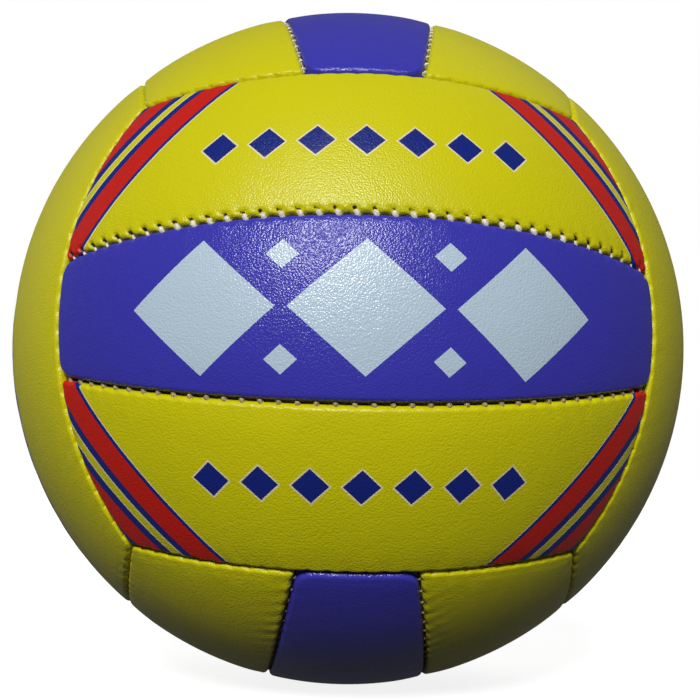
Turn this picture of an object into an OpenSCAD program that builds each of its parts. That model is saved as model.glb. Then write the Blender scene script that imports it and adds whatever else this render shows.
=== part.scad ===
// Machine-stitched volleyball of 18 panels: six faces of three strips round an inflated bladder.
// The origin is the centre of the ball. +Z goes out through the valve, and -Y is the front face.

/* [Ball] */
// Diameter over the crowns of the panels
ball_d = 210; // [195:1:225]

/* [Panel layout] */
// Width of a face's middle strip across its centre
mid_strip_w = 48; // [42:0.5:54]
// Width of a face's middle strip at its two ends
mid_strip_end_w = 32; // [27:0.5:37]
// How far the seam at a strip's ends bows past the cube's edge line
face_bow = 11; // [7:0.5:14]

/* [Panel layers] */
// Thickness of the grained synthetic leather
cover_t = 1; // [0.8:0.05:1.2]
// Thickness of the foam backing
foam_t = 2.6; // [2.3:0.1:3.2]
// Thickness of the woven lining
lining_t = 0.4; // [0.3:0.05:0.6]
// Thickness of the glue between two layers
glue_t = 0.1; // [0.08:0.01:0.2]
// Radius of a panel's turned edge
edge_r = 3; // [2.6:0.1:3.4]

/* [Stitching] */
// Gap between two turned edges, where the thread lies
seam_gap = 0.9; // [0.85:0.05:1.2]
// Distance from one stitch to the next
stitch_pitch = 4.7; // [4:0.1:6]
// Thickness of the strand that crosses a seam
stitch_d = 0.8; // [0.7:0.05:0.9]
// Angle of a crossing strand to the straight way across
stitch_slant = 25; // [15:1:30]
// Depth of a crossing strand's centre below the ball's surface
stitch_depth = 1.2; // [1.1:0.05:1.4]
// Clearance between a crossing strand's end and the turned edge
stitch_clear = 0.05; // [0.03:0.01:0.1]
// Thickness of the strand that runs along a seam
thread_d = 0.7; // [0.6:0.05:0.75]
// How far the two strands sink into each other where they cross
strand_bite = 0.15; // [0.1:0.05:0.2]
// Distance from the end of a seam to its last stitch
seam_end = 3.5; // [3:0.1:5]

/* [Bladder and valve] */
// Thickness of the bladder's rubber
bladder_t = 1.2; // [0.9:0.1:1.6]
// Diameter of the valve's stem
valve_d = 6.4; // [6:0.1:7]
// Clearance round the stem in the panel and its layers
valve_clear = 0.3; // [0.2:0.05:0.5]
// Depth of the stem's mouth below the ball's surface
valve_recess = 0.4; // [0.2:0.1:0.8]
// Length of the stem from its mouth to its inner end
valve_len = 18; // [15:0.5:22]
// Diameter of the stem's bulb inside the bladder
bulb_d = 9; // [8:0.5:11]
// Length of that bulb
bulb_len = 8; // [6:0.5:9]
// Diameter of the patch that holds the valve in the bladder
patch_d = 36; // [28:1:44]
// Thickness of that patch
patch_t = 1.2; // [0.9:0.1:1.5]
// Diameter of the soft core in the stem
core_d = 4.3; // [4:0.1:4.6]
// Clearance of the core in the stem
core_clear = 0.05; // [0.03:0.01:0.1]
// Length of the core
core_len = 13; // [12:0.5:14]
// Diameter of the bore that takes an inflating needle
needle_bore_d = 2.1; // [1.9:0.1:2.4]
// Length of that bore below its funnel
needle_bore_len = 10; // [8:0.5:10.5]
// Diameter of the funnel at the bore's mouth
funnel_d = 3.4; // [2.8:0.1:3.6]
// Depth of that funnel
funnel_depth = 0.8; // [0.5:0.1:1]

/* [Hidden] */
$fn = 96;
ball_r = ball_d / 2;
// The six faces, and the name that each gives its three strips, from its own +Y side to its -Y side
FACES = ["front", "back", "left", "right", "top", "bottom"];
STRIPS = [1, 0, -1];

// Depths of the layers below the surface, from the outside in
foam_depth = cover_t + glue_t;
lining_depth = foam_depth + foam_t + glue_t;
wall_depth = lining_depth + lining_t;
bladder_r = ball_r - wall_depth - glue_t;
patch_r = bladder_r - bladder_t - glue_t;

// How far the solids that cut the seams reach, as a share of the ball's radius
reach_share = 1.25;
reach = reach_share * ball_r;
// How far a turned edge's round stands out of the wall and the surface that it joins, so that each pair
// meets at a faint crease
crease = 0.06;
// Overrun of a cut past the face that it opens
cut = 1;

// Seams are laid out on a ball of radius 1 in a face's own frame: Z out of the face, X along its strips.
// The seam across the strips' ends lies on the plane Z = end_rise + end_slope * |X|.
// The seam between two strips lies on the plane |Y| = strip_shift + strip_slope * Z.
corner_share = 1 / sqrt(3);
bow_angle = 45 + arc_angle(face_bow);
end_slope = (cos(bow_angle) - corner_share) / (sin(bow_angle) - corner_share);
end_rise = corner_share * (1 - end_slope);
end_tilt = atan(end_slope);
end_lift = asin(end_rise * cos(end_tilt));

half_mid_angle = arc_angle(mid_strip_w / 2);
half_end_angle = arc_angle(mid_strip_end_w / 2);
strip_end_x = far_root(1 + pow(end_slope, 2), 2 * end_rise * end_slope,
                       pow(end_rise, 2) - pow(cos(half_end_angle), 2));
strip_end_z = end_rise + end_slope * strip_end_x;
strip_slope = (sin(half_mid_angle) - sin(half_end_angle)) / (cos(half_mid_angle) - strip_end_z);
strip_shift = sin(half_end_angle) - strip_slope * strip_end_z;
strip_tilt = atan(strip_slope);
strip_lift = asin(strip_shift * cos(strip_tilt));

// Half of the angle that a seam spans round its own axis, and where a strip seam meets an end seam
end_half_span = asin(corner_share / cos(end_lift));
end_branch = asin(sin(half_end_angle) / cos(end_lift));
strip_half_span = asin(strip_end_x / cos(strip_lift));
end_gap_angle = arc_angle(seam_end) / cos(end_lift);
strip_gap_angle = arc_angle(seam_end) / cos(strip_lift);

// The strand along a seam lies under the strands that cross it. They end just short of the turned
// edges, whose distance from the seam's middle is edge_aside at the crossing strands' lowest line.
thread_depth = stitch_depth + (stitch_d + thread_d) / 2 - strand_bite;
stitch_low = stitch_depth + stitch_d / 2;
edge_aside = seam_gap / 2 + edge_r - sqrt(pow(edge_r, 2) - pow(edge_r - stitch_low, 2));
stitch_reach = edge_aside - stitch_clear - stitch_d / 2 * sin(stitch_slant);
stitch_len = 2 * stitch_reach / cos(stitch_slant);

// Heights along the valve's axis, from the outside in
mouth_z = ball_r - valve_recess;
funnel_z = mouth_z - funnel_depth;
core_end_z = mouth_z - core_len;
stem_end_z = mouth_z - valve_len;
bulb_z = stem_end_z + bulb_len;

YELLOW = [0.86, 0.8, 0.08];
BLUE = [0.28, 0.24, 0.7];
FOAM = [0.93, 0.92, 0.86];
CLOTH = [0.88, 0.88, 0.9];
THREAD = [0.9, 0.87, 0.68];
RUBBER = [0.1, 0.1, 0.11];
SOFT_RUBBER = [0.2, 0.2, 0.21];

// Names
function strip_names(face) =
    face == "front" || face == "back" ? ["upper", "middle", "lower"]
    : face == "top" || face == "bottom" ? ["left", "middle", "right"]
    : ["back", "middle", "front"];
function strip_node(layer, face, strip) = str(layer, "_", face, "_", strip_names(face)[1 - strip]);
function face_node(piece, face) = str(piece, "_", face);

// Angle at the ball's centre of a length along its surface
function arc_angle(length) = length / ball_r * 180 / PI;

// Distance of a seam from the line through the ball's centre that its walls run along, and the distance
// along that line of a point of the seam at a depth
function seam_aside(lift, wall_lift) = ball_r * sin(lift - wall_lift);
function seam_along(lift, wall_lift, depth) =
    sqrt(pow(ball_r - depth, 2) - pow(seam_aside(lift, wall_lift), 2));

// Larger root of a*x*x + b*x + c
function far_root(a, b, c) = (-b + sqrt(b * b - 4 * a * c)) / (2 * a);

// Angles of the stitches from one angle to another round a seam that lies at a lift from its axis's plane
function stitch_count(from, to, lift) =
    max(1, round((to - from) * PI / 180 * ball_r * cos(lift) / stitch_pitch));
function stitch_run(from, to, lift) =
    [for (i = [0 : stitch_count(from, to, lift)]) from + (to - from) * i / stitch_count(from, to, lift)];

// The stitches of an end seam beside one strip, and those of a strip seam
function end_stitches(strip) =
    strip == 0 ? stitch_run(end_gap_angle - end_branch, end_branch - end_gap_angle, end_lift)
    : strip * stitch_run(end_branch + end_gap_angle, end_half_span - end_gap_angle, end_lift);
function all_end_stitches() = [for (strip = STRIPS) each end_stitches(strip)];
function strip_stitches() =
    stitch_run(strip_gap_angle - strip_half_span, strip_half_span - strip_gap_angle, strip_lift);

// Turns a face's own frame to its place on the ball
module on_face(face) {
    turn = face == "front" ? [90, 0, 0]
        : face == "back" ? [90, 0, 180]
        : face == "left" ? [0, -90, 0]
        : face == "right" ? [0, 90, 0]
        : face == "top" ? [0, 0, 90]
        : [180, 0, -90];
    rotate(turn)
        children();
}

// Frames with a seam's axis as Z, and the middle of the seam towards +X. A side is 1 or -1: the end
// at +X or -X, the strip seam at +Y or -Y, and the neighbour's end seam at +Y or -Y.
module end_frame(side) {
    rotate([0, 0, side > 0 ? 0 : 180])
        rotate([0, -end_tilt, 0])
            children();
}

module strip_frame(side) {
    rotate([0, 0, side > 0 ? 0 : 180])
        rotate([90 - strip_tilt, 0, 0])
            rotate([0, 0, 90])
                children();
}

module neighbour_frame(side) {
    rotate([0, 0, side > 0 ? 0 : 180])
        rotate(a = -120, v = [1, 1, 1])
            end_frame(1)
                children();
}

// All that lies to one side of a seam, as a solid of revolution round the seam's axis. Its wall stands
// half a gap and an inset away from the seam, and rounds over to the surface. The wall rises at an angle
// of its own: on the ball's radius beside an end seam, and as a plane, at no angle, beside a strip seam,
// where a radius would make a cone too flat to cut with.
module seam_side(lift, wall_lift, inset) {
    wall = seam_aside(lift, wall_lift) + seam_gap / 2 + inset;
    round_r = edge_r - inset;
    up = [cos(wall_lift), sin(wall_lift)];
    aside = [-sin(wall_lift), cos(wall_lift)];
    foot = (ball_r - 2 * wall_depth) * up + wall * aside;
    turn_along = sqrt(pow(ball_r - edge_r, 2) - pow(wall + round_r, 2));
    turn = turn_along * up + wall * aside;
    middle = turn + round_r * aside;
    out = middle * reach / norm(middle);
    rotate([0, 0, 90])
        rotate_extrude() {
            polygon(concat([[0, foot.y]], wall_lift == 0 ? [] : [foot],
                           [turn, middle, out, [reach, reach], [0, reach]]));
            translate(middle)
                circle(r = round_r + crease);
        }
}

// The far side of the same seam
module far_side(lift, wall_lift, inset) {
    mirror([0, 0, 1])
        seam_side(-lift, -wall_lift, inset);
}

// A panel's space from a depth below the surface to the ball's centre, drawn in by an inset at its seams
module middle_block(depth, inset) {
    intersection() {
        sphere(r = ball_r - depth);
        end_frame(1)
            seam_side(end_lift, end_lift, inset);
        end_frame(-1)
            seam_side(end_lift, end_lift, inset);
        strip_frame(1)
            seam_side(-strip_lift, 0, inset);
        strip_frame(-1)
            seam_side(-strip_lift, 0, inset);
    }
}

module outer_block(side, depth, inset) {
    intersection() {
        sphere(r = ball_r - depth);
        end_frame(1)
            seam_side(end_lift, end_lift, inset);
        end_frame(-1)
            seam_side(end_lift, end_lift, inset);
        strip_frame(side)
            far_side(-strip_lift, 0, inset);
        neighbour_frame(side)
            far_side(end_lift, end_lift, inset);
    }
}

module panel_block(strip, depth, inset) {
    if (strip == 0)
        middle_block(depth, inset);
    else
        outer_block(strip, depth, inset);
}

// A rod across a seam at each of the given angles round it
module rods(angles, lift, wall_lift) {
    for (angle = angles)
        rotate([0, 0, angle])
            rotate([0, -wall_lift, 0])
                translate([seam_along(lift, wall_lift, stitch_depth), 0, seam_aside(lift, wall_lift)])
                    rotate([stitch_slant, 0, 0])
                        cylinder(d = stitch_d, h = stitch_len, center = true);
}

// The hole that the valve's stem comes through
module valve_hole(clear) {
    translate([0, 0, stem_end_z])
        cylinder(d = valve_d + 2 * clear, h = ball_r - stem_end_z + cut);
}

// One layer of a panel, open for the valve at the ball's top
module layer(face, strip, depth, inset, thickness) {
    difference() {
        on_face(face)
            difference() {
                panel_block(strip, depth, inset);
                children();
                sphere(r = ball_r - depth - thickness);
            }
        if (face == "top" && strip == 0)
            valve_hole(valve_clear);
    }
}

// The grained skin of a panel, turned in along its edges
module cover(face, strip) {
    color(strip == 0 ? BLUE : YELLOW)
        layer(face, strip, 0, 0, wall_depth)
            panel_block(strip, cover_t, cover_t);
}

// The foam under the skin
module foam(face, strip) {
    color(FOAM)
        layer(face, strip, foam_depth, foam_depth, foam_t);
}

// The woven cloth under the foam of a face's three strips
module lining(face) {
    color(CLOTH)
        for (strip = STRIPS)
            layer(face, strip, lining_depth, foam_depth, lining_t);
}

// The thread of one seam: a strand along the groove and the strands that cross it
module seam_thread(angles, lift, wall_lift) {
    first = min(angles);
    last = max(angles);
    strand = seam_along(lift, wall_lift, thread_depth) * [cos(wall_lift), sin(wall_lift)]
        + seam_aside(lift, wall_lift) * [-sin(wall_lift), cos(wall_lift)];
    rotate([0, 0, first])
        rotate_extrude(angle = last - first)
            translate(strand)
                circle(d = thread_d);
    rods(angles, lift, wall_lift);
}

module strip_thread(face) {
    color(THREAD)
        on_face(face)
            for (side = [1, -1])
                strip_frame(side)
                    seam_thread(strip_stitches(), -strip_lift, 0);
}

module end_thread(face) {
    color(THREAD)
        on_face(face)
            for (side = [1, -1])
                end_frame(side)
                    seam_thread(all_end_stitches(), end_lift, end_lift);
}

// The airtight rubber ball inside the panels
module bladder() {
    color(RUBBER)
        difference() {
            sphere(r = bladder_r);
            sphere(r = bladder_r - bladder_t);
            valve_hole(glue_t);
        }
}

// The valve's stem with its bulb, and the patch that holds it against the bladder from inside
module valve_housing() {
    color(RUBBER)
        difference() {
            union() {
                intersection() {
                    difference() {
                        sphere(r = patch_r);
                        sphere(r = patch_r - patch_t);
                    }
                    cylinder(d = patch_d, h = ball_r);
                }
                translate([0, 0, stem_end_z])
                    cylinder(d = valve_d, h = valve_len);
                translate([0, 0, stem_end_z])
                    cylinder(d = bulb_d, h = bulb_len);
                translate([0, 0, bulb_z])
                    cylinder(d1 = bulb_d, d2 = valve_d, h = (bulb_d - valve_d) / 2);
            }
            translate([0, 0, core_end_z])
                cylinder(d = core_d + 2 * core_clear, h = core_len + cut);
            translate([0, 0, stem_end_z - cut])
                cylinder(d = needle_bore_d, h = valve_len);
        }
}

// The soft core that closes on itself when the needle is drawn out
module valve_core() {
    color(SOFT_RUBBER)
        difference() {
            translate([0, 0, core_end_z])
                cylinder(d = core_d, h = core_len);
            translate([0, 0, funnel_z - needle_bore_len])
                cylinder(d = needle_bore_d, h = needle_bore_len + cut);
            translate([0, 0, funnel_z])
                cylinder(d1 = needle_bore_d, d2 = funnel_d, h = funnel_depth);
        }
}

for (face = FACES) {
    for (strip = STRIPS) {
        cover(face, strip);
        foam(face, strip);
    }
    lining(face);
    strip_thread(face);
    end_thread(face);
}
bladder();
valve_housing();
valve_core();
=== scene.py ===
import math
import bpy
import numpy as np
from mathutils import Matrix, Vector


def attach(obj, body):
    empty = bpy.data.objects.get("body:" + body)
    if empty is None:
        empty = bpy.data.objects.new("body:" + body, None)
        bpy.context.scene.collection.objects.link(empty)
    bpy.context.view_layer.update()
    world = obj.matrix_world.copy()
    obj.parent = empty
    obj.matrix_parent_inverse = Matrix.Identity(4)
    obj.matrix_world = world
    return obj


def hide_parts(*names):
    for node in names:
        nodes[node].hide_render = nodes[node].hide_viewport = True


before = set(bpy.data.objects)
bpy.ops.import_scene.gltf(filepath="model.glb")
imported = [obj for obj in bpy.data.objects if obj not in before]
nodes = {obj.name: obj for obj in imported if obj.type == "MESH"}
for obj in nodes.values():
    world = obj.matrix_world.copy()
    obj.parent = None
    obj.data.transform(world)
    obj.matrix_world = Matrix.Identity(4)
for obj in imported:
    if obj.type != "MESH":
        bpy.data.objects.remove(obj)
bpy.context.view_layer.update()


# The bladder and its valve: thin black butyl rubber, with the moulded valve glued in at the ball's top.
# They come from the frame as they are. Only the mouth of the valve shows, at the bottom of its hole.


def put(tree, kind, inputs=(), **settings):
    """Adds a node, sets its values, and links each input that is given as another node's output."""
    node = tree.nodes.new(kind)
    for name, value in settings.items():
        setattr(node, name, value)
    for name, value in dict(inputs).items():
        if isinstance(value, bpy.types.NodeSocket):
            tree.links.new(value, node.inputs[name])
        else:
            node.inputs[name].default_value = value
    return node


def calc(tree, operation, *values):
    """The output of a Math node on plain values or other nodes' outputs."""
    return put(tree, "ShaderNodeMath", dict(enumerate(values)), operation=operation).outputs[0]


def new_material(name, **sockets):
    """A material, its node tree and its shader, whose plain values are given by socket name."""
    material = bpy.data.materials.new(name)
    material.use_nodes = True
    shader = material.node_tree.nodes["Principled BSDF"]
    for socket, value in sockets.items():
        shader.inputs[socket.replace("_", " ")].default_value = value
    return material, material.node_tree, shader


def join_to(tree, output, shader, socket):
    """Links a node's output to an input of the shader."""
    tree.links.new(output, shader.inputs[socket])


def ramp(tree, share, low, high, stops=(0.0, 1.0)):
    """A colour that goes by a share from one to another, both as plain linear values."""
    node = put(tree, "ShaderNodeValToRGB", {"Fac": share})
    for element, stop, colour in zip(node.color_ramp.elements, stops, (low, high)):
        element.position = stop
        element.color = (*colour, 1)
    return node.outputs["Color"]


def bumps(tree, height, strength, distance, **under):
    """A normal for bumps in the pattern of a height, distance metres tall, over another one given as Normal."""
    inputs = {"Height": height, "Strength": strength, "Distance": distance, **under}
    return put(tree, "ShaderNodeBump", inputs).outputs["Normal"]


def dress(piece, material):
    """Gives a piece one material in place of those it has."""
    piece.data.materials.clear()
    piece.data.materials.append(material)


def rubber(name, low, high):
    """Moulded rubber with a faint bloom on it."""
    material, tree, shader = new_material(name, Specular_IOR_Level=0.4)
    place = put(tree, "ShaderNodeTexCoord").outputs["Object"]
    bloom = put(tree, "ShaderNodeTexNoise", {"Vector": place, "Scale": 60.0, "Detail": 6.0}).outputs["Fac"]
    join_to(tree, ramp(tree, bloom, low, high), shader, "Base Color")
    dull = put(tree, "ShaderNodeMapRange", {"Value": bloom, "To Min": 0.45, "To Max": 0.7})
    join_to(tree, dull.outputs["Result"], shader, "Roughness")
    skin = put(tree, "ShaderNodeTexNoise", {"Vector": place, "Scale": 1500.0, "Detail": 3.0})
    join_to(tree, bumps(tree, skin.outputs["Fac"], strength=0.3, distance=0.0001), shader, "Normal")
    return material


black_rubber = rubber("black rubber", (0.012, 0.012, 0.013), (0.035, 0.034, 0.033))
dress(nodes["bladder"], black_rubber)
dress(nodes["valve_housing"], black_rubber)
dress(nodes["valve_core"], rubber("soft grey rubber", (0.05, 0.05, 0.05), (0.09, 0.088, 0.085)))


# The lining: plain-woven cotton and polyester cloth, glued under the foam so that a panel can't stretch.
# It is closed in between the panels and the bladder.

FACES = ["front", "back", "left", "right", "top", "bottom"]
weave_scale = 1 / 0.0054  # a yarn about every 1.7 mm

cloth, tree, shader = new_material("lining cloth", Roughness=0.9, Sheen_Weight=0.2)
place = put(tree, "ShaderNodeTexCoord").outputs["Object"]
turned = put(tree, "ShaderNodeMapping", {"Vector": place, "Rotation": (0.6, 0.5, 0.4)}).outputs[0]
yarns = []
for direction in ("X", "Y"):
    wave = put(tree, "ShaderNodeTexWave", {"Vector": turned, "Scale": weave_scale}, bands_direction=direction)
    yarns.append(wave.outputs["Fac"])
weave = calc(tree, "MAXIMUM", *yarns)
join_to(tree, ramp(tree, weave, (0.45, 0.45, 0.47), (0.78, 0.78, 0.80)), shader, "Base Color")
join_to(tree, bumps(tree, weave, strength=0.6, distance=0.0002), shader, "Normal")
for face in FACES:
    dress(nodes["lining_" + face], cloth)


# The 18 panels: grained synthetic leather over foam, cut as strips of a ball. Their edges are turned in
# and drawn down into the seams by the stitching, which leaves a small pucker at every stitch.
# A face's frame has Z out of the face and X along its strips, as in the CAD source.

ball_r = 0.105
mid_strip_w = 0.048
mid_strip_end_w = 0.032
face_bow = 0.011
panel_t = 0.00375
stitch_pitch = 0.0047
seam_end = 0.0035
stitch_slant = math.radians(25)

# On a ball of radius 1, an end seam lies in the plane z = end_rise + end_slope * x. It runs between two
# corners of a cube, and at its middle it is bowed out past 45 degrees.
corner = 1 / math.sqrt(3)
bow_angle = math.pi / 4 + face_bow / ball_r
end_slope = (math.cos(bow_angle) - corner) / (math.sin(bow_angle) - corner)
end_rise = corner * (1 - end_slope)
end_tilt = math.atan(end_slope)
end_lift = math.asin(end_rise * math.cos(end_tilt))

# A strip seam lies in the plane y = strip_shift + strip_slope * z. The middle strip reaches half_mid to each
# side at its middle and half_end at its ends. There x solves a quadratic, because the strip seam ends in the
# end seam's plane.
half_mid = mid_strip_w / 2 / ball_r
half_end = mid_strip_end_w / 2 / ball_r
square, linear = 1 + end_slope**2, 2 * end_rise * end_slope
constant = end_rise**2 - math.cos(half_end) ** 2
strip_end_x = (-linear + math.sqrt(linear * linear - 4 * square * constant)) / (2 * square)
strip_end_z = end_rise + end_slope * strip_end_x
strip_slope = (math.sin(half_mid) - math.sin(half_end)) / (math.cos(half_mid) - strip_end_z)
strip_shift = math.sin(half_end) - strip_slope * strip_end_z
strip_tilt = math.atan(strip_slope)
strip_lift = math.asin(strip_shift * math.cos(strip_tilt))

# Angles round the seams' own axes: half of each seam, the place where a strip seam runs into an end seam,
# and the stretch next to a junction that has no stitch.
end_half_span = math.asin(corner / math.cos(end_lift))
end_branch = math.asin(math.sin(half_end) / math.cos(end_lift))
strip_half_span = math.asin(strip_end_x / math.cos(strip_lift))
end_gap = seam_end / ball_r / math.cos(end_lift)
strip_gap = seam_end / ball_r / math.cos(strip_lift)

# How each face's frame lies on the ball, and what its strips are called, from +Y to -Y.
FACE_TURN = {
    "front": Matrix.Rotation(math.pi / 2, 3, "X"),
    "back": Matrix.Rotation(math.pi, 3, "Z") @ Matrix.Rotation(math.pi / 2, 3, "X"),
    "left": Matrix.Rotation(-math.pi / 2, 3, "Y"),
    "right": Matrix.Rotation(math.pi / 2, 3, "Y"),
    "top": Matrix.Rotation(math.pi / 2, 3, "Z"),
    "bottom": Matrix.Rotation(math.pi, 3, "X") @ Matrix.Rotation(math.pi / 2, 3, "Z"),
}
STRIP_NAMES = {
    "front": ("upper", "middle", "lower"),
    "back": ("upper", "middle", "lower"),
    "left": ("back", "middle", "front"),
    "right": ("back", "middle", "front"),
    "top": ("left", "middle", "right"),
    "bottom": ("left", "middle", "right"),
}


def stitch_run(start, stop, lift):
    """Angles of evenly spaced stitches round a seam's axis."""
    count = max(1, round((stop - start) * ball_r * math.cos(lift) / stitch_pitch))
    return [start + (stop - start) * i / count for i in range(count + 1)]


END_RUNS = [
    stitch_run(-end_half_span + end_gap, -end_branch - end_gap, end_lift),
    stitch_run(-end_branch + end_gap, end_branch - end_gap, end_lift),
    stitch_run(end_branch + end_gap, end_half_span - end_gap, end_lift),
]
STRIP_RUNS = [stitch_run(-strip_half_span + strip_gap, strip_half_span - strip_gap, strip_lift)]

# What each kind of stitch does to the edges: the gap that it leaves between them, the depth, half-width and
# reach of the notch that it presses into them, and how far it pulls them along.
STITCHING = {
    "loose": dict(gap=0.0003, notch=0.0013, notch_w=0.00078, notch_reach=0.0020, pull=0.0003),
    "sunk": dict(gap=0.0008, notch=0.0007, notch_w=0.00068, notch_reach=0.0011, pull=0.0002),
    "tight": dict(gap=0.0005, notch=0.0005, notch_w=0.00045, notch_reach=0.0008, pull=0.0002),
    "deep": dict(gap=0.0005, notch=0.0005, notch_w=0.00045, notch_reach=0.0008, pull=0.0003),
    "hidden": dict(gap=0.0004, notch=0.0009, notch_w=0.00042, notch_reach=0.0009, pull=0.00015),
}
out_of_reach = 1.0  # farther than any place on the ball is from a seam or a stitch


class Seam:
    """A seam as a circle round an axis, for the panel on one side of it: 1 for the axis's side, or -1.

    Middle is the way from the ball's centre to the seam's middle, square to the axis, and along is square to both.
    """

    def __init__(self, axis, middle, along, lift, side, runs, stitching="hidden"):
        self.axis, self.middle, self.along = np.array(axis), np.array(middle), np.array(along)
        self.lift, self.side, self.runs = lift, side, runs
        self.stitch = STITCHING[stitching]
        self.angles = np.array([angle for run in runs for angle in run])

    def plane(self, distance):
        """The plane of the circle that runs inside the panel at a distance from the seam, as (normal, offset)."""
        return self.side * self.axis, self.side * math.sin(self.lift + self.side * distance / ball_r)

    def distance(self, ways):
        """How far inside the panel each way out of the ball's centre comes through."""
        return self.side * ball_r * (np.arcsin(ways @ self.axis) - self.lift)

    def from_stitch(self, ways, distance):
        """Length along the seam to the nearest stitch, which leans over as it goes away from the seam."""
        angle = np.arctan2(ways @ self.along, ways @ self.middle)
        lean = self.side * math.tan(stitch_slant) * distance
        seam_r = ball_r * math.cos(self.lift)
        near = np.full(angle.shape, out_of_reach)
        for stitch in self.angles:
            near = np.minimum(near, np.abs((angle - stitch) * seam_r + lean))
        return near


sin_end, cos_end = math.sin(end_tilt), math.cos(end_tilt)
sin_strip, cos_strip = math.sin(strip_tilt), math.cos(strip_tilt)


def end_seam(end):
    """A face's end seam, at +X for 1 or -X for -1, for the face's own panels."""
    return Seam((-end * sin_end, 0, cos_end), (end * cos_end, 0, sin_end), (0, end, 0), end_lift, 1, END_RUNS)


def neighbour_seam(strip):
    """The next face's end seam, which is the outer edge of the strip at +Y for 1 or -Y for -1."""
    axis, middle = (0, strip * cos_end, -sin_end), (0, strip * sin_end, cos_end)
    return Seam(axis, middle, (strip, 0, 0), end_lift, -1, END_RUNS)


def strip_stitching(face, strip):
    """How a strip seam is stitched. The front's are closed last, from outside, so their strands show most."""
    if face == "bottom":
        return "deep"
    return {("front", 1): "loose", ("front", -1): "sunk"}.get((face, strip), "tight")


def strip_seam(face, strip, side):
    """The seam of the strip at +Y for 1 or -Y for -1, for the middle strip if side is 1, or for the outer one."""
    axis, middle = (0, -strip * cos_strip, sin_strip), (0, strip * sin_strip, cos_strip)
    return Seam(axis, middle, (-strip, 0, 0), -strip_lift, side, STRIP_RUNS, strip_stitching(face, strip))


def panel_seams(face, strip):
    """The two seams at a panel's ends and the two along its sides."""
    ends = end_seam(-1), end_seam(1)
    if strip == 0:
        return ends, (strip_seam(face, -1, 1), strip_seam(face, 1, 1))
    return ends, (strip_seam(face, strip, -1), neighbour_seam(strip))


# Each turned edge has edge_lines lines of the grid within edge_zone of its seam, and they crowd towards it.
panel_len = 2 * ball_r * bow_angle
skin_step = 0.00055
inner_step = 0.006
edge_zone = 0.0030
edge_lines = 10
edge_crowding = 1.5


def lines_between(first, last, span, step):
    """Planes from one seam to the opposite one: close together on both turned edges, and even between."""
    turn = [edge_zone * (k / edge_lines) ** edge_crowding for k in range(edge_lines + 1)]
    planes = [first.plane(first.stitch["gap"] / 2 + d) for d in turn]
    last_planes = [last.plane(last.stitch["gap"] / 2 + d) for d in reversed(turn)]
    (normal, offset), (last_normal, last_offset) = planes[-1], last_planes[0]
    count = round((span - 2 * edge_zone) / step)
    for k in range(1, count):
        f = k / count
        planes.append(((1 - f) * normal - f * last_normal, (1 - f) * offset - f * last_offset))
    return planes + last_planes


def ways_at(columns, rows):
    """Unit vectors where every column plane crosses every row plane on the ball."""
    a, a_off = np.array([n for n, off in columns])[:, None, :], np.array([off for n, off in columns])[:, None]
    b, b_off = np.array([n for n, off in rows])[None, :, :], np.array([off for n, off in rows])[None, :]
    aa, bb, ab = (a * a).sum(-1), (b * b).sum(-1), (a * b).sum(-1)
    cross = np.cross(a, b)
    size = aa * bb - ab**2
    near = ((a_off * bb - b_off * ab) / size)[..., None] * a + ((b_off * aa - a_off * ab) / size)[..., None] * b
    along = np.sqrt((1 - (near**2).sum(-1)) / size)[..., None] * cross
    return near + along * np.sign(along[..., 2:])


def pick(*pieces):
    """Selects these pieces alone and makes the first one active."""
    bpy.ops.object.select_all(action="DESELECT")
    for piece in pieces:
        piece.select_set(True)
    bpy.context.view_layer.objects.active = pieces[0]


def points_of(piece):
    """A piece's points, one in each row."""
    flat = np.empty(len(piece.data.vertices) * 3)
    piece.data.vertices.foreach_get("co", flat)
    return flat.reshape(-1, 3)


def place_points(piece, points):
    """Moves a piece's points, given one in each row."""
    piece.data.vertices.foreach_set("co", np.ascontiguousarray(points).ravel())
    piece.data.update()


def grid_piece(name, columns, rows):
    """A grid with one corner for each crossing of the planes, and the column and row of each corner."""
    bpy.ops.object.select_all(action="DESELECT")
    across, up = len(columns) - 1, len(rows) - 1
    bpy.ops.mesh.primitive_grid_add(x_subdivisions=across, y_subdivisions=up, size=1)
    piece = bpy.context.object
    piece.name = name
    flat = points_of(piece)
    column = np.rint((flat[:, 0] + 0.5) * across).astype(int)
    row = np.rint((flat[:, 1] + 0.5) * up).astype(int)
    return piece, column, row


# Each panel's skin has a little slack, so that the air can lift it by that much at most, and it may dip by
# less. The cloth has every fourth line of the panel's grid. One lift serves all panels of a colour.
slack = 0.00035
dip = 0.0001
cloth_step = 4
air_steps = 20
lifts = {}


def finer(field, picks):
    """Fills in the lines that the simulation left out, along the first axis, and rounds the kinks."""
    lines = np.arange(picks[-1] + 1)
    filled = np.stack([np.interp(lines, picks, field[:, k]) for k in range(field.shape[1])], axis=1)
    rows = [np.clip(lines + k, 0, picks[-1]) for k in range(-cloth_step + 1, cloth_step)]
    return sum(filled[row] for row in rows) / len(rows)


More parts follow.
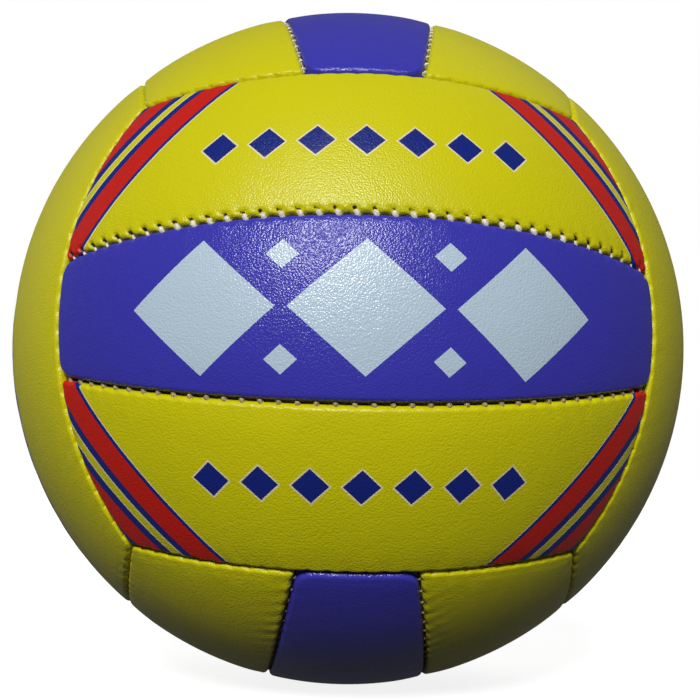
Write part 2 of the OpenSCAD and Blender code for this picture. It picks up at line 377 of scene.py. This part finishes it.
def inflate(columns, rows):
    """How far the air in the ball lifts a slack skin that is sewn down all round, by a cloth simulation."""
    picks = [sorted({*range(0, len(lines), cloth_step), len(lines) - 1}) for lines in (columns, rows)]
    few = [columns[k] for k in picks[0]], [rows[k] for k in picks[1]]
    skin, column, row = grid_piece("skin", *few)
    place_points(skin, ways_at(*few)[column, row] * (ball_r - slack))
    sewn = (column % column.max() == 0) | (row % row.max() == 0)
    field = np.full((len(picks[0]), len(picks[1])), slack)
    field[column[sewn], row[sewn]] = 0
    skin.vertex_groups.new(name="sewn").add([int(k) for k in np.nonzero(sewn)[0]], 1.0, "REPLACE")
    air = skin.modifiers.new("air", "CLOTH")
    air.point_cache.frame_end = air_steps
    air.settings.quality = 8
    air.settings.mass = 0.3
    air.settings.bending_stiffness = 0.1
    air.settings.vertex_group_mass = "sewn"
    air.settings.shrink_min = -0.006  # cut 0.6 % too large
    air.settings.use_pressure = True
    air.settings.uniform_pressure_force = 60.0
    air.settings.effector_weights.gravity = 0.0
    for step in range(1, air_steps + 1):
        bpy.context.scene.frame_set(step)
    bpy.ops.object.modifier_apply(modifier=air.name)
    rise = np.linalg.norm(points_of(skin), axis=1) - (ball_r - slack)
    field[column, row] = slack * np.tanh(np.maximum(rise, -dip) / slack)
    bpy.context.scene.frame_set(1)
    bpy.data.objects.remove(skin)
    return finer(finer(field, picks[0]).T, picks[1]).T


# How each leather turns in: the radius of its turned edge and of its panels' corners, and how far it yields
# to the stitches, as a share.
EDGES = {
    "blue": dict(edge_r=0.0015, corner_r=0.0045, yielding=0.3),
    "yellow": dict(edge_r=0.0012, corner_r=0.0018, yielding=1.0),
}
pit_depth = 0.0024  # no place of a skin lies deeper
pull_fade = 0.0015  # how far from a seam its stitches still pull, and the same for the puckers
pucker_fade = 0.003
pucker_share = 0.6  # a pucker's depth as a share of the pull
edge_fall = 3  # how steeply the skin falls past its edge


def corner_distance(one, other, radius):
    """Distance inside a corner rounded to a radius, from the distances inside its two edges."""
    round_part = radius - np.hypot(np.clip(radius - one, 0, None), np.clip(radius - other, 0, None))
    return np.where((one < radius) & (other < radius), round_part, np.minimum(one, other))


def skin_depth(ways, ends, sides, edge_r, corner_r, yielding):
    """How far the skin lies below the ball's surface: its turned edges, puckers and flat-bottomed notches."""
    inside = {}
    extra = np.zeros(len(ways))
    for seam in (*ends, *sides):
        stitch = seam.stitch
        away = seam.distance(ways)
        near = seam.from_stitch(ways, away)
        wave = 0.5 + 0.5 * np.cos(np.clip(near / stitch_pitch, 0, 0.5) * 2 * math.pi)
        pull = yielding * stitch["pull"] * wave
        inside[seam] = away - stitch["gap"] / 2 - pull * np.exp(-away / pull_fade)
        extra += pucker_share * pull * np.exp(-away / pucker_fade)
        sunk = np.exp(-((near / stitch["notch_w"]) ** 4) - (away / stitch["notch_reach"]) ** 6)
        extra += yielding * stitch["notch"] * sunk
    edge_distance = np.full(len(ways), out_of_reach)
    for end in ends:
        for side in sides:
            edge_distance = np.minimum(edge_distance, corner_distance(inside[end], inside[side], corner_r))
    turn = np.clip(edge_r - edge_distance, 0, edge_r)
    depth = edge_r - np.sqrt(edge_r**2 - turn**2) + edge_fall * np.clip(-edge_distance, 0, None)
    return depth + extra


def map_panel(piece, face, strip, ways, seam):
    """Two UV maps in metres: along and across the strip, and from the nearest stitch and from the seam."""
    from_seam = seam.distance(ways)
    # the distances to the stitches are kept only on the panel whose needle holes get painted shade
    hole_shaded = (face, strip) == ("front", 1)
    from_hole = seam.from_stitch(ways, from_seam) if hole_shaded else np.full(len(ways), out_of_reach)
    along = ball_r * np.arctan2(ways[:, 0], ways[:, 2]) * (strip or 1)
    across = from_seam if strip else ball_r * np.arcsin(ways[:, 1])
    corners = np.empty(len(piece.data.loops), dtype=int)
    piece.data.loops.foreach_get("vertex_index", corners)
    print_map = piece.data.uv_layers[0]
    print_map.name = "print"
    print_map.data.foreach_set("uv", np.stack([along, across], axis=1)[corners].ravel())
    seam_map = piece.data.uv_layers.new(name="seam")
    seam_map.data.foreach_set("uv", np.stack([from_hole, from_seam], axis=1)[corners].ravel())


def close_panel(piece, inner):
    """Joins a panel's skin and its inner face by a wall all round."""
    pick(piece, inner)
    bpy.ops.object.join()
    bpy.ops.object.mode_set(mode="EDIT")
    bpy.ops.mesh.select_mode(type="EDGE")
    bpy.ops.mesh.select_all(action="DESELECT")
    bpy.ops.mesh.select_non_manifold(use_wire=False, use_multi_face=False, use_non_contiguous=False, use_verts=False)
    bpy.ops.mesh.bridge_edge_loops()
    bpy.ops.mesh.select_all(action="SELECT")
    bpy.ops.mesh.normals_make_consistent(inside=False)
    bpy.ops.object.mode_set(mode="OBJECT")
    bpy.ops.object.shade_smooth()


def add_panel(face, strip):
    """A panel's skin, its turned edges and its inner face, as one closed form."""
    ends, sides = panel_seams(face, strip)
    yellow = strip != 0
    place_name = f"{face}_{STRIP_NAMES[face][1 - strip]}"
    lines = lines_between(*ends, panel_len, skin_step), lines_between(*sides, mid_strip_w, skin_step)
    if yellow not in lifts:
        lifts[yellow] = inflate(*lines)
    piece, column, row = grid_piece("panel_" + place_name, *lines)
    ways = ways_at(*lines)[column, row]
    depth = skin_depth(ways, ends, sides, **EDGES["yellow" if yellow else "blue"])
    depth = np.minimum(depth + slack - lifts[yellow][column, row], pit_depth)
    turn = np.array(FACE_TURN[face])
    place_points(piece, ways * (ball_r - depth)[:, None] @ turn.T)
    map_panel(piece, face, strip, ways, sides[0])

    lines = lines_between(*ends, panel_len, inner_step), lines_between(*sides, mid_strip_w, inner_step)
    inner, column, row = grid_piece("inner", *lines)
    place_points(inner, ways_at(*lines)[column, row] * (ball_r - panel_t) @ turn.T)
    close_panel(piece, inner)
    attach(piece, "root")
    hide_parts("cover_" + place_name, "foam_" + place_name)
    return piece


def leather_grain():
    """Fine pebbled grain as a height, with the slow swell of the foam under it and a few creases."""
    group = bpy.data.node_groups.new("leather grain", "ShaderNodeTree")
    group.interface.new_socket("Pebble Size", in_out="INPUT", socket_type="NodeSocketFloat")
    group.interface.new_socket("Grain", in_out="OUTPUT", socket_type="NodeSocketFloat")
    group.interface.new_socket("Swell", in_out="OUTPUT", socket_type="NodeSocketFloat")
    group.interface.new_socket("Patches", in_out="OUTPUT", socket_type="NodeSocketFloat")
    given = put(group, "NodeGroupInput")
    place = put(group, "ShaderNodeTexCoord").outputs["Object"]
    drift = put(group, "ShaderNodeTexNoise", {"Vector": place, "Scale": 1400.0, "Detail": 1.0})
    shifted = put(group, "ShaderNodeVectorMath", {0: drift.outputs["Color"], "Scale": 0.0004}, operation="SCALE")
    moved = put(group, "ShaderNodeVectorMath", {0: place, 1: shifted.outputs[0]}, operation="ADD").outputs[0]
    density = calc(group, "DIVIDE", 1.0, given.outputs["Pebble Size"])
    pebbles = put(group, "ShaderNodeTexVoronoi", {"Vector": moved, "Scale": density}, feature="F1")
    fine = put(group, "ShaderNodeTexNoise", {"Vector": place, "Scale": 3200.0, "Detail": 3.0})
    pebble = calc(group, "SUBTRACT", 1.0, pebbles.outputs["Distance"])
    fine_share = 0.4
    grain_height = calc(group, "MULTIPLY_ADD", fine.outputs["Fac"], fine_share, pebble)

    patches = put(group, "ShaderNodeTexNoise", {"Vector": place, "Scale": 38.0, "Detail": 2.0})
    waves = put(group, "ShaderNodeTexNoise", {"Vector": place, "Scale": 85.0, "Detail": 2.0})
    stretched = put(group, "ShaderNodeMapping",
                    {"Vector": place, "Rotation": (0.3, 0.5, 0.2), "Scale": (1.0, 0.3, 0.3)})
    lines = put(group, "ShaderNodeTexNoise", {"Vector": stretched.outputs[0], "Scale": 420.0, "Detail": 2.0})
    ridge = calc(group, "ABSOLUTE", calc(group, "SUBTRACT", lines.outputs["Fac"], 0.5))
    crease = put(group, "ShaderNodeMapRange", {"Value": ridge, "From Max": 0.03, "To Min": -1.0, "To Max": 0.0})
    where = put(group, "ShaderNodeMapRange", {"Value": patches.outputs["Fac"], "From Min": 0.60, "From Max": 0.70})
    creases = calc(group, "MULTIPLY", crease.outputs["Result"], where.outputs["Result"])
    crease_share = 0.16
    swell = calc(group, "MULTIPLY_ADD", creases, crease_share, waves.outputs["Fac"])
    given_out = put(group, "NodeGroupOutput")
    group.links.new(grain_height, given_out.inputs["Grain"])
    group.links.new(swell, given_out.inputs["Swell"])
    group.links.new(patches.outputs["Fac"], given_out.inputs["Patches"])
    return group


def needle_hole_shade():
    """A soft-edged mask of painted shade in the oval needle holes along a seam, read from the distances to a stitch
    and the seam.
    """
    half_along, half_across, from_seam = 0.00070, 0.00060, 0.00145
    group = bpy.data.node_groups.new("needle holes", "ShaderNodeTree")
    group.interface.new_socket("Hole_Shade", in_out="OUTPUT", socket_type="NodeSocketFloat")
    place = put(group, "ShaderNodeUVMap", uv_map="seam").outputs[0]
    parts = put(group, "ShaderNodeSeparateXYZ", {0: place})
    along = calc(group, "DIVIDE", parts.outputs[0], half_along)
    across = calc(group, "DIVIDE", calc(group, "SUBTRACT", parts.outputs[1], from_seam), half_across)
    squares = calc(group, "ADD", calc(group, "POWER", along, 2.0), calc(group, "POWER", across, 2.0))
    away = calc(group, "SQRT", squares)
    hole = put(group, "ShaderNodeMapRange", {"Value": away, "From Min": 1.15, "From Max": 0.75})
    given_out = put(group, "NodeGroupOutput")
    group.links.new(hole.outputs["Result"], given_out.inputs["Hole_Shade"])
    return group


grain = leather_grain()
hole_shade = needle_hole_shade()
pebble_size = 0.00055
roughness_spread = 0.05
worn_tone = (0.8, 0.8, 0.8)
# painted shade: the dark colour painted into the needle holes, which are dark only by the shade in them
hole_shade_tone = (0.012, 0.008, 0.004)


def mixed(tree, share, one, other, blend="MIX"):
    """One colour changed to or by another, by a share. Each is a node's output or plain linear values."""
    node = put(tree, "ShaderNodeMix", {"Factor": share}, data_type="RGBA", blend_type=blend)
    for socket, colour in ((6, one), (7, other)):  # the node's two colours, and output 2 is the mixed one
        if isinstance(colour, bpy.types.NodeSocket):
            tree.links.new(colour, node.inputs[socket])
        else:
            node.inputs[socket].default_value = (*colour, 1)
    return node.outputs[2]


def leather(name, colour, rough, shine, hole_shaded, printed=None):
    """Grained leather of one colour or with a print, and with painted shade in its needle holes where they are to be
    shaded.
    """
    material, tree, shader = new_material(name, Specular_IOR_Level=shine)
    surface = put(tree, "ShaderNodeGroup", {}, node_tree=grain)
    surface.inputs["Pebble Size"].default_value = pebble_size
    patches = surface.outputs["Patches"]
    shade = colour if printed is None else printed(tree, colour)
    worn = put(tree, "ShaderNodeMapRange",
               {"Value": patches, "From Min": 0.3, "From Max": 0.7, "To Min": 0.0, "To Max": 0.10})
    shade = mixed(tree, worn.outputs["Result"], shade, worn_tone, "MULTIPLY")
    if hole_shaded:
        hole_shade_mask = put(tree, "ShaderNodeGroup", {}, node_tree=hole_shade)
        # painted shade in the needle holes
        shade = mixed(tree, hole_shade_mask.outputs[0], shade, hole_shade_tone)
    join_to(tree, shade, shader, "Base Color")
    gloss = put(tree, "ShaderNodeMapRange",
                {"Value": patches, "To Min": rough - roughness_spread, "To Max": rough + roughness_spread})
    join_to(tree, gloss.outputs["Result"], shader, "Roughness")
    swell = bumps(tree, surface.outputs["Swell"], strength=0.3, distance=0.0005)
    pebbled = bumps(tree, surface.outputs["Grain"], strength=0.7, distance=0.00014, Normal=swell)
    join_to(tree, pebbled, shader, "Normal")
    return material


# The prints, in millimetres from the strip's middle, or for an outer strip from its seam.
red = (0.60, 0.012, 0.005)
navy = (0.006, 0.018, 0.20)
pale = (0.52, 0.65, 0.76)
cream = (0.80, 0.72, 0.42)


def less(tree, value, limit):
    """1 where a value is below a limit, and 0 elsewhere."""
    return calc(tree, "LESS_THAN", value, limit)


def both(tree, one, other):
    """1 where both are 1, and 0 elsewhere."""
    return calc(tree, "MULTIPLY", one, other)


def print_place(tree):
    """Millimetres along and across a strip: both as they are, and the first also without its sign."""
    parts = put(tree, "ShaderNodeSeparateXYZ", {0: put(tree, "ShaderNodeUVMap", uv_map="print").outputs[0]})
    along = calc(tree, "MULTIPLY", parts.outputs[0], 1000.0)
    across = calc(tree, "MULTIPLY", parts.outputs[1], 1000.0)
    return along, across, calc(tree, "ABSOLUTE", along)


def lozenges(tree, along, across, pitch, half_len, half_w):
    """A row of lozenges, as a value that is 1 on their outline and smaller inside."""
    middle = calc(tree, "SNAP", calc(tree, "ADD", along, pitch / 2), pitch)
    off_middle = calc(tree, "ABSOLUTE", calc(tree, "SUBTRACT", along, middle))
    off_row = calc(tree, "DIVIDE", calc(tree, "ABSOLUTE", across), half_w)
    return calc(tree, "ADD", calc(tree, "DIVIDE", off_middle, half_len), off_row)


def middle_print(tree, colour):
    """Three large pale lozenges in a row, with small ones above and below where they meet."""
    pitch, small_off_row = 42.0, 13.0
    along, across, away = print_place(tree)
    large = lozenges(tree, along, across, pitch, half_len=19.5, half_w=17.0)
    shade = mixed(tree, both(tree, less(tree, large, 1.0), less(tree, away, 1.5 * pitch)), colour, pale)
    between = calc(tree, "ADD", along, pitch / 2)
    beside = calc(tree, "SUBTRACT", calc(tree, "ABSOLUTE", across), small_off_row)
    small = lozenges(tree, between, beside, pitch, half_len=4.2, half_w=3.7)
    return mixed(tree, both(tree, less(tree, small, 1.0), less(tree, away, pitch)), shade, pale)


# Where each slanting bar begins and ends along the strip, taken at the seam, and its colour.
OUTER_BARS = (
    (84.3, 84.9, cream), (84.9, 86.6, navy), (86.6, 97.0, red), (97.0, 100.5, navy), (100.5, 101.1, cream),
    (104.4, 105.0, cream), (105.0, 109.0, navy), (109.0, 119.0, red), (119.0, 200.0, navy),
)


def outer_print(tree, colour):
    """A row of navy lozenges with cream outlines, and straight slanting bars at both ends of the strip."""
    row_off_seam, row_end, outline, bar_slant = 21.0, 48.0, 1.13, 0.9
    along, across, away = print_place(tree)
    off_row = calc(tree, "SUBTRACT", across, row_off_seam)
    row = lozenges(tree, along, off_row, pitch=14.0, half_len=5.2, half_w=4.6)
    in_row = less(tree, away, row_end)
    shade = mixed(tree, both(tree, less(tree, row, outline), in_row), colour, cream)
    shade = mixed(tree, both(tree, less(tree, row, 1.0), in_row), shade, navy)
    slanted = calc(tree, "MULTIPLY_ADD", across, bar_slant, away)
    for start, stop, tone in OUTER_BARS:
        in_bar = both(tree, calc(tree, "GREATER_THAN", slanted, start), less(tree, slanted, stop))
        shade = mixed(tree, in_bar, shade, tone)
    return shade


# Each leather, by whether it is for an outer strip and whether it is printed.
# Only the yellow leather gets painted shade in its needle holes.
YELLOW = dict(colour=(0.66, 0.62, 0.003), rough=0.32, shine=0.36, hole_shaded=True)
BLUE = dict(colour=(0.044, 0.040, 0.44), rough=0.26, shine=0.5, hole_shaded=False)
LEATHERS = {
    (True, False): leather("yellow leather", **YELLOW),
    (False, False): leather("blue leather", **BLUE),
    (True, True): leather("printed yellow leather", **YELLOW, printed=outer_print),
    (False, True): leather("printed blue leather", **BLUE, printed=middle_print),
}

panels = {}
for face in FACES:
    for strip in (1, 0, -1):
        panels[face, strip] = add_panel(face, strip)
        dress(panels[face, strip], LEATHERS[strip != 0, face in ("front", "back")])


# The valve's hole: punched through the top face's middle panel down to the bladder, with its edge
# pressed into a shallow dish by the valve under it.

valve_hole_r = 0.0035
hole_edge_r = 0.0009
dish_depth = 0.00015
dish_fade = 0.0016
finer_r = 0.007  # how far from the valve's axis the mesh is made finer, and how far it is shaped
shaped_r = 0.0075
punch_len = 0.02
punch_sink = 0.002

panel = panels["top", 0]
mesh = panel.data
pick(panel)
bpy.ops.object.mode_set(mode="EDIT")
bpy.ops.mesh.select_mode(type="FACE")
bpy.ops.mesh.select_all(action="DESELECT")
bpy.ops.object.mode_set(mode="OBJECT")
for patch in mesh.polygons:
    patch.select = math.hypot(patch.center.x, patch.center.y) < finer_r
bpy.ops.object.mode_set(mode="EDIT")
bpy.ops.mesh.subdivide(number_cuts=3)
bpy.ops.object.mode_set(mode="OBJECT")

# This places the skin's points and also the inner face's, so close to the hole the panel is too thin.
for point in mesh.vertices:
    off_axis = math.hypot(point.co.x, point.co.y)
    if off_axis < shaped_r:
        turn = min(max(hole_edge_r - (off_axis - valve_hole_r), 0), hole_edge_r)
        depth = hole_edge_r - math.sqrt(hole_edge_r**2 - turn**2)
        depth += dish_depth * math.exp(-((off_axis - valve_hole_r) / dish_fade) ** 2)
        point.co = point.co.normalized() * (ball_r - depth)

bpy.ops.object.select_all(action="DESELECT")
bpy.ops.mesh.primitive_cylinder_add(vertices=72, radius=valve_hole_r, depth=punch_len,
                                    location=(0, 0, ball_r - punch_sink))
punch = bpy.context.object
bpy.ops.object.shade_smooth()
cut = panel.modifiers.new("valve hole", "BOOLEAN")
cut.operation = "DIFFERENCE"
cut.solver = "MANIFOLD"
cut.object = punch
pick(panel)
bpy.ops.object.modifier_apply(modifier=cut.name)
bpy.data.objects.remove(punch)


# The stitching: thick waxed polyester thread, two plies twisted together. One strand runs along the
# bottom of each seam, and short strands cross it from a needle hole in one edge to a hole in the other.

strand_depth = 0.0032
strand_r = 0.00035
strand_steps = 90
drawn_ends = 7  # stitches at each end of the loose seam that are drawn in

# A crossing strand's radius, and its path: how far towards the side of the seam's axis, and how deep.
STRANDS = {
    "loose": (0.00076, ((0.0006, 0.0024), (0.00040, 0.0017), (0.0001, 0.00125), (-0.00025, 0.00115),
                        (-0.00055, 0.0013), (-0.0008, 0.0019))),
    "drawn": (0.00050, ((0.0005, 0.0026), (0.0003, 0.0020), (0.0, 0.00165), (-0.0003, 0.0016), (-0.0006, 0.0018),
                        (-0.0008, 0.0023))),
    "sunk": (0.00070, ((0.0005, 0.0027), (0.0002, 0.0020), (-0.0001, 0.0017), (-0.0004, 0.0016), (-0.0006, 0.0018),
                       (-0.0007, 0.0024))),
    "tight": (0.00035, ((0.0005, 0.0023), (0.0003, 0.0016), (0.0, 0.0013), (-0.0003, 0.0013), (-0.0006, 0.0016),
                        (-0.0007, 0.0022))),
    "deep": (0.00028, ((0.0005, 0.0026), (0.0003, 0.0020), (0.0, 0.0017), (-0.0003, 0.0017), (-0.0006, 0.0020),
                       (-0.0007, 0.0025))),
    "hidden": (0.0003, ((0.0006, 0.0025), (0.0003, 0.0021), (0.0, 0.0020), (-0.0003, 0.0021), (-0.0006, 0.0025))),
}


def thread(name, low, high):
    """Twisted thread, darker between its fibres than on them."""
    material, tree, shader = new_material(name, Roughness=0.6, Sheen_Weight=0.15)
    place = put(tree, "ShaderNodeTexCoord").outputs["Object"]
    ply = put(tree, "ShaderNodeTexNoise", {"Vector": place, "Scale": 1800.0, "Detail": 3.0}).outputs["Fac"]
    join_to(tree, ramp(tree, ply, low, high, stops=(0.35, 0.62)), shader, "Base Color")
    join_to(tree, bumps(tree, ply, strength=0.5, distance=0.0002), shader, "Normal")
    return material


cream_thread = thread("cream thread", (0.58, 0.50, 0.32), (0.93, 0.90, 0.76))
# painted shade: a darker brown copy of the cream thread, for the seams that lie in shade
shaded_thread = thread("cream thread in painted shade", (0.20, 0.13, 0.04), (0.52, 0.42, 0.18))


def tube(name, points, radius):
    """A six-sided strand through the given points, as a mesh with closed ends."""
    path = bpy.data.curves.new(name, "CURVE")
    path.dimensions = "3D"
    spline = path.splines.new("POLY")
    spline.points.add(len(points) - 1)
    for point, place in zip(spline.points, points):
        point.co = (*place, 1)
    path.bevel_depth = radius
    path.bevel_resolution = 1
    path.use_fill_caps = True
    piece = bpy.data.objects.new(name, path)
    bpy.context.collection.objects.link(piece)
    pick(piece)
    bpy.ops.object.convert(target="MESH")
    return bpy.context.object


def seam_strand(name, seam):
    """The strand along a seam, in the seam's own frame: X to its middle, and Z along its axis."""
    first, last = seam.angles[0], seam.angles[-1]
    low = ball_r - strand_depth
    around, up = low * math.cos(seam.lift), low * math.sin(seam.lift)
    arc = [first + (last - first) * k / strand_steps for k in range(strand_steps + 1)]
    return tube(name, [(around * math.cos(t), around * math.sin(t), up) for t in arc], strand_r)


def crossing_strand(name, style):
    """One strand across a seam: X out of the ball, Y along the seam, Z across it."""
    radius, path = STRANDS[style]
    return tube(name, [(ball_r - depth, -aside * math.tan(stitch_slant), aside) for aside, depth in path], radius)


def seam_matrix(face, seam):
    """From a seam's own frame, X to its middle and Z along its axis, to the ball."""
    own = Matrix((seam.middle, seam.along, seam.axis)).transposed()
    return (FACE_TURN[face] @ own).to_4x4()


def sew(face, seam, name, stitching):
    """The strand along one seam and those that cross it. Towards the ends of a loose seam they are drawn in."""
    to_ball = seam_matrix(face, seam)
    strand = seam_strand(name, seam)
    strand.data.transform(to_ball)
    parts = [strand]
    runs = [(run, stitching) for run in seam.runs]
    if stitching == "loose":
        run = seam.runs[0]
        runs = [(run[:drawn_ends], "drawn"), (run[drawn_ends:-drawn_ends], "loose"), (run[-drawn_ends:], "drawn")]
    for run, style in runs:
        crossing = crossing_strand(name + "_crossing", style)
        at = Matrix.Rotation(run[0], 4, "Z") @ Matrix.Rotation(-seam.lift, 4, "Y")
        crossing.data.transform(to_ball @ at)
        bpy.ops.object.empty_add()
        guide = bpy.context.object
        guide.matrix_world = to_ball @ Matrix.Rotation(run[1] - run[0], 4, "Z") @ to_ball.inverted()
        array = crossing.modifiers.new("along the seam", "ARRAY")
        array.use_relative_offset = False
        array.use_object_offset = True
        array.offset_object = guide
        array.count = len(run)
        pick(crossing)
        bpy.ops.object.modifier_apply(modifier=array.name)
        bpy.data.objects.remove(guide)
        parts.append(crossing)
    # The sunk and deep seams lie in shade, so their strands get the copy of the thread with painted shade.
    for part in parts:
        dress(part, shaded_thread if stitching in ("sunk", "deep") else cream_thread)
    return parts


def finish_thread(parts, name, node):
    """Joins the strands of two like seams to one piece, which stands for their CAD node."""
    pick(*parts)
    bpy.ops.object.join()
    piece = bpy.context.object
    piece.name = name
    bpy.ops.object.shade_smooth()
    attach(piece, "root")
    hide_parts(node)


for face in FACES:
    parts = []
    for strip in (1, -1):
        parts += sew(face, strip_seam(face, strip, 1), "strip_stitches", strip_stitching(face, strip))
    finish_thread(parts, f"strip_stitches_{face}", f"strip_thread_{face}")
    parts = [part for end in (1, -1) for part in sew(face, end_seam(end), "end_stitches", "hidden")]
    finish_thread(parts, f"end_stitches_{face}", f"end_thread_{face}")


# The studio: a plain pale floor that runs out to a white backdrop, one soft lamp above and in front, two
# weaker ones behind, and the camera of the photograph.

floor_size = 80
floor_glow = 0.86
mirrored_share = 0.07


def seen_share(tree):
    """1 for what the camera sees, a small share for what is mirrored, and 0 for the light on the ball."""
    rays = put(tree, "ShaderNodeLightPath")
    mirrored = calc(tree, "MAXIMUM", rays.outputs["Is Glossy Ray"], rays.outputs["Is Transmission Ray"])
    return calc(tree, "MAXIMUM", rays.outputs["Is Camera Ray"], calc(tree, "MULTIPLY", mirrored, mirrored_share))


white, tree, shader = new_material("studio white", Roughness=1.0, Specular_IOR_Level=0.0)
seen = seen_share(tree)
join_to(tree, mixed(tree, seen, (0.05, 0.05, 0.05), (0.35, 0.35, 0.35)), shader, "Base Color")
shader.inputs["Emission Color"].default_value = (1, 1, 1, 1)
join_to(tree, calc(tree, "MULTIPLY", seen, floor_glow), shader, "Emission Strength")

bpy.ops.object.select_all(action="DESELECT")
bpy.ops.mesh.primitive_plane_add(size=floor_size, location=(0, 0, -ball_r))
floor = bpy.context.object
floor.name = "floor"
bpy.ops.object.mode_set(mode="EDIT")
bpy.ops.mesh.select_all(action="SELECT")
bpy.ops.mesh.subdivide(number_cuts=1)
bpy.ops.object.mode_set(mode="OBJECT")
floor.data.materials.append(white)

world = bpy.data.worlds.new("studio")
bpy.context.scene.world = world
world.use_nodes = True
tree = world.node_tree
level = put(tree, "ShaderNodeMapRange", {"Value": seen_share(tree), "To Min": 0.04, "To Max": 1.0})
tree.links.new(level.outputs["Result"], tree.nodes["Background"].inputs["Strength"])
tree.nodes["Background"].inputs["Color"].default_value = (1, 1, 1, 1)


def add_lamp(name, elevation, azimuth, width, energy, glints=True):
    """A far soft lamp: its direction from the ball and how wide it looks from there, all in degrees."""
    elevation, azimuth = math.radians(elevation), math.radians(azimuth)
    bpy.ops.object.light_add(type="SUN")
    lamp = bpy.context.object
    lamp.name = name
    lamp.data.energy = energy
    lamp.data.angle = math.radians(width)
    level_share = math.cos(elevation)
    shines = Vector((-level_share * math.sin(azimuth), level_share * math.cos(azimuth), -math.sin(elevation)))
    lamp.rotation_euler = shines.to_track_quat("-Z", "Y").to_euler()
    lamp.visible_glossy = glints


add_lamp("key", elevation=31.5, azimuth=-10, width=16, energy=3.05)
add_lamp("back left", elevation=20, azimuth=-140, width=40, energy=1.0, glints=False)
add_lamp("back right", elevation=40, azimuth=150, width=40, energy=0.9, glints=False)

bpy.ops.object.camera_add()
camera = bpy.context.object
camera_distance = 0.4108
back = Vector((-0.0417, -0.9943, -0.0979))
right = Vector((0.9989, -0.0434, 0.0156))
up = back.cross(right).normalized()
right = up.cross(back).normalized()
turned = Matrix((right, up, back.normalized())).transposed().to_4x4()
camera.matrix_world = Matrix.Translation(back.normalized() * camera_distance) @ turned
camera.data.sensor_width = 36
camera.data.lens = 65.33
camera.data.shift_x = 0.003
camera.data.shift_y = -0.002
camera.data.clip_start = 0.01
bpy.context.scene.camera = camera
bpy.context.scene.view_settings.view_transform = "Standard"
